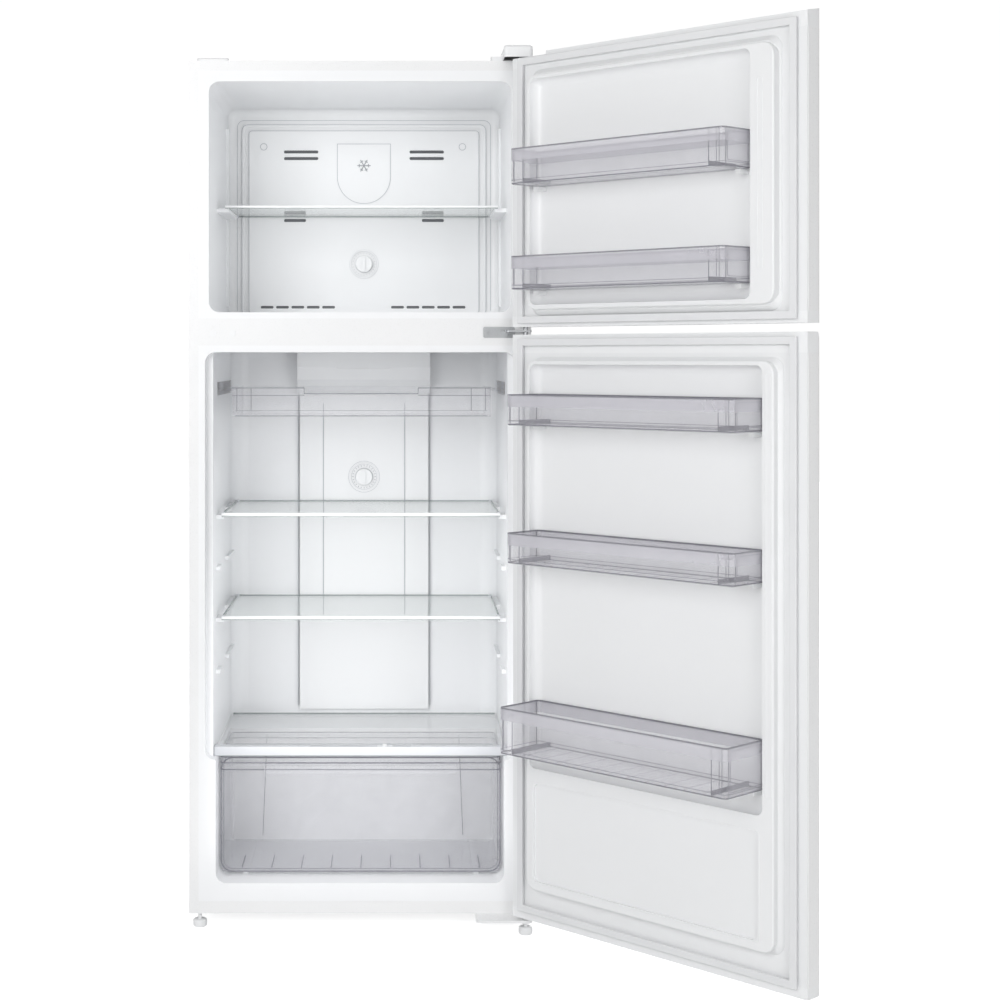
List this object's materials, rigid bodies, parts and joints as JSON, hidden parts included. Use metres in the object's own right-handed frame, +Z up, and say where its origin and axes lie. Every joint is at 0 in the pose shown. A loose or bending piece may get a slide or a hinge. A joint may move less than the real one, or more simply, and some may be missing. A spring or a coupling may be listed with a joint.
{
  "type": "top freezer refrigerator",
  "caption": "Upright refrigerator with a freezer above the fresh food compartment, both doors hinged on the right and shown open, with shelves, tray, crisper and door bins.",
  "frame": {"origin": "on the floor, under the middle of the cabinet's footprint", "axes": "+Z up, -Y out of the front of the cabinet, +X towards the hinge side"},
  "size_m": [1.1733, 1.1766, 1.7983],
  "materials": {
    "white_steel": "satin enamel",
    "galvanised_steel": "galvanised",
    "zinc_plate": "zinc plated",
    "pu_foam": "rigid foam, matt",
    "white_liner": "vacuum formed, satin",
    "white_plastic": "moulded, fine texture",
    "grey_plastic": "moulded, satin",
    "clear_plastic": "clear moulded",
    "shelf_glass": "tempered, clear",
    "gasket_vinyl": "soft vinyl",
    "black_enamel": "black enamel",
    "black_rubber": "moulded rubber",
    "aluminium_fins": "mill finish",
    "copper_tube": "drawn copper",
    "black_plastic": "moulded, satin"
  },
  "bodies": {
    "cabinet": {"outer_shell": "white_steel", "rear_panel": "galvanised_steel", "base_plate": "galvanised_steel", "cabinet_insulation": "pu_foam", "freezer_liner": "white_liner", "fridge_liner": "white_liner", "middle_rail": "white_steel", "lower_rail": "white_steel", "evaporator_cover": "white_plastic", "shield_badge": "white_plastic", "fan_motor": "black_plastic", "evaporator": "aluminium_fins", "defrost_heater": "zinc_plate", "duct_cover": "white_plastic", "lamp_housing": "grey_plastic", "lamp_lens": "clear_plastic", "crisper_cover": "white_plastic", "tray_rails": "clear_plastic", "top_hinge": "zinc_plate", "middle_hinge": "zinc_plate", "bottom_hinge": "zinc_plate", "hinge_screws": "zinc_plate", "top_hinge_cover": "white_plastic", "cabinet_plugs": "white_plastic", "roller_axles": "zinc_plate", "compressor": "black_enamel", "compressor_grommets": "black_rubber", "drip_tray": "black_plastic", "condenser": "black_enamel", "filter_drier": "copper_tube", "mains_inlet": "black_plastic"},
    "freezer_door": {"freezer_door_skin": "white_steel", "freezer_door_foam": "pu_foam", "freezer_door_liner": "white_liner", "freezer_door_caps": "white_plastic", "freezer_door_gasket": "gasket_vinyl"},
    "fridge_door": {"fridge_door_skin": "white_steel", "fridge_door_foam": "pu_foam", "fridge_door_liner": "white_liner", "fridge_door_caps": "white_plastic", "fridge_door_gasket": "gasket_vinyl"},
    "fan_blade_body": {"fan_blade": "grey_plastic"},
    "freezer_knob_body": {"freezer_knob": "white_plastic"},
    "fridge_knob_body": {"fridge_knob": "white_plastic"},
    "damper_flap_body": {"damper_flap": "grey_plastic"},
    "freezer_shelf_body": {"freezer_shelf": "clear_plastic"},
    "upper_shelf_body": {"upper_shelf": "shelf_glass"},
    "lower_shelf_body": {"lower_shelf": "shelf_glass"},
    "humidity_slider_body": {"humidity_slider": "white_plastic"},
    "crisper_drawer_body": {"crisper_drawer": "clear_plastic"},
    "chiller_tray_body": {"chiller_tray": "clear_plastic"},
    "freezer_bin_upper_body": {"freezer_bin_upper": "clear_plastic"},
    "freezer_bin_lower_body": {"freezer_bin_lower": "clear_plastic"},
    "fridge_bin_upper_body": {"fridge_bin_upper": "clear_plastic"},
    "fridge_bin_middle_body": {"fridge_bin_middle": "clear_plastic"},
    "fridge_bin_lower_body": {"fridge_bin_lower": "clear_plastic"},
    "front_foot_left_body": {"front_foot_left": "white_plastic"},
    "front_foot_right_body": {"front_foot_right": "white_plastic"},
    "rear_roller_left_body": {"rear_roller_left": "black_plastic"},
    "rear_roller_right_body": {"rear_roller_right": "black_plastic"}
  },
  "joints": [
    {"name": "freezer_door_hinge", "type": "hinge", "parent": "cabinet", "child": "freezer_door", "pos_m": [0.336, -0.334, 1.5], "axis": [0, 0, 1], "range_deg": [-134, 0]},
    {"name": "fridge_door_hinge", "type": "hinge", "parent": "cabinet", "child": "fridge_door", "pos_m": [0.336, -0.334, 0.6], "axis": [0, 0, 1], "range_deg": [-134, 0]},
    {"name": "freezer_bin_upper_lift", "type": "slide", "parent": "freezer_door", "child": "freezer_bin_upper_body", "axis": [0, 0, 1], "range_m": [0, 0.025]},
    {"name": "freezer_bin_lower_lift", "type": "slide", "parent": "freezer_door", "child": "freezer_bin_lower_body", "axis": [0, 0, 1], "range_m": [0, 0.025]},
    {"name": "fridge_bin_upper_lift", "type": "slide", "parent": "fridge_door", "child": "fridge_bin_upper_body", "axis": [0, 0, 1], "range_m": [0, 0.025]},
    {"name": "fridge_bin_middle_lift", "type": "slide", "parent": "fridge_door", "child": "fridge_bin_middle_body", "axis": [0, 0, 1], "range_m": [0, 0.025]},
    {"name": "fridge_bin_lower_lift", "type": "slide", "parent": "fridge_door", "child": "fridge_bin_lower_body", "axis": [0, 0, 1], "range_m": [0, 0.025]},
    {"name": "crisper_drawer_slide", "type": "slide", "parent": "cabinet", "child": "crisper_drawer_body", "axis": [0, -1, 0], "range_m": [0, 0.2]},
    {"name": "chiller_tray_slide", "type": "slide", "parent": "cabinet", "child": "chiller_tray_body", "axis": [0, -1, 0], "range_m": [0, 0.2]},
    {"name": "freezer_shelf_slide", "type": "slide", "parent": "cabinet", "child": "freezer_shelf_body", "axis": [0, -1, 0], "range_m": [0, 0.18]},
    {"name": "upper_shelf_slide", "type": "slide", "parent": "cabinet", "child": "upper_shelf_body", "axis": [0, -1, 0], "range_m": [0, 0.18]},
    {"name": "lower_shelf_slide", "type": "slide", "parent": "cabinet", "child": "lower_shelf_body", "axis": [0, -1, 0], "range_m": [0, 0.18]},
    {"name": "humidity_slider_slide", "type": "slide", "parent": "cabinet", "child": "humidity_slider_body", "axis": [1, 0, 0], "range_m": [-0.1, 0]},
    {"name": "freezer_knob_turn", "type": "hinge", "parent": "cabinet", "child": "freezer_knob_body", "pos_m": [0, 0.135, 1.38], "axis": [0, -1, 0], "range_deg": [-135, 135]},
    {"name": "fridge_knob_turn", "type": "hinge", "parent": "cabinet", "child": "fridge_knob_body", "pos_m": [0, 0.156, 0.895], "axis": [0, -1, 0], "range_deg": [-135, 135]},
    {"name": "damper_flap_tilt", "type": "hinge", "parent": "cabinet", "child": "damper_flap_body", "pos_m": [0, 0.16, 1.114], "axis": [-1, 0, 0], "range_deg": [-30, 30]},
    {"name": "fan_spin", "type": "hinge", "parent": "cabinet", "child": "fan_blade_body", "pos_m": [0, 0.14, 1.585], "axis": [0, -1, 0], "continuous": true},
    {"name": "left_foot_turn", "type": "hinge", "parent": "cabinet", "child": "front_foot_left_body", "pos_m": [-0.329, -0.28, 0], "axis": [0, 0, 1], "continuous": true},
    {"name": "right_foot_turn", "type": "hinge", "parent": "cabinet", "child": "front_foot_right_body", "pos_m": [0.336, -0.334, 0], "axis": [0, 0, 1], "continuous": true},
    {"name": "left_roller_spin", "type": "hinge", "parent": "cabinet", "child": "rear_roller_left_body", "pos_m": [-0.3, 0.262, 0.015], "axis": [1, 0, 0], "continuous": true},
    {"name": "right_roller_spin", "type": "hinge", "parent": "cabinet", "child": "rear_roller_right_body", "pos_m": [0.3, 0.262, 0.015], "axis": [1, 0, 0], "continuous": true}
  ],
  "couplings": [
    {"joint": "damper_flap_tilt", "follows": "fridge_knob_turn", "ratio": 0.2222}
  ]
}
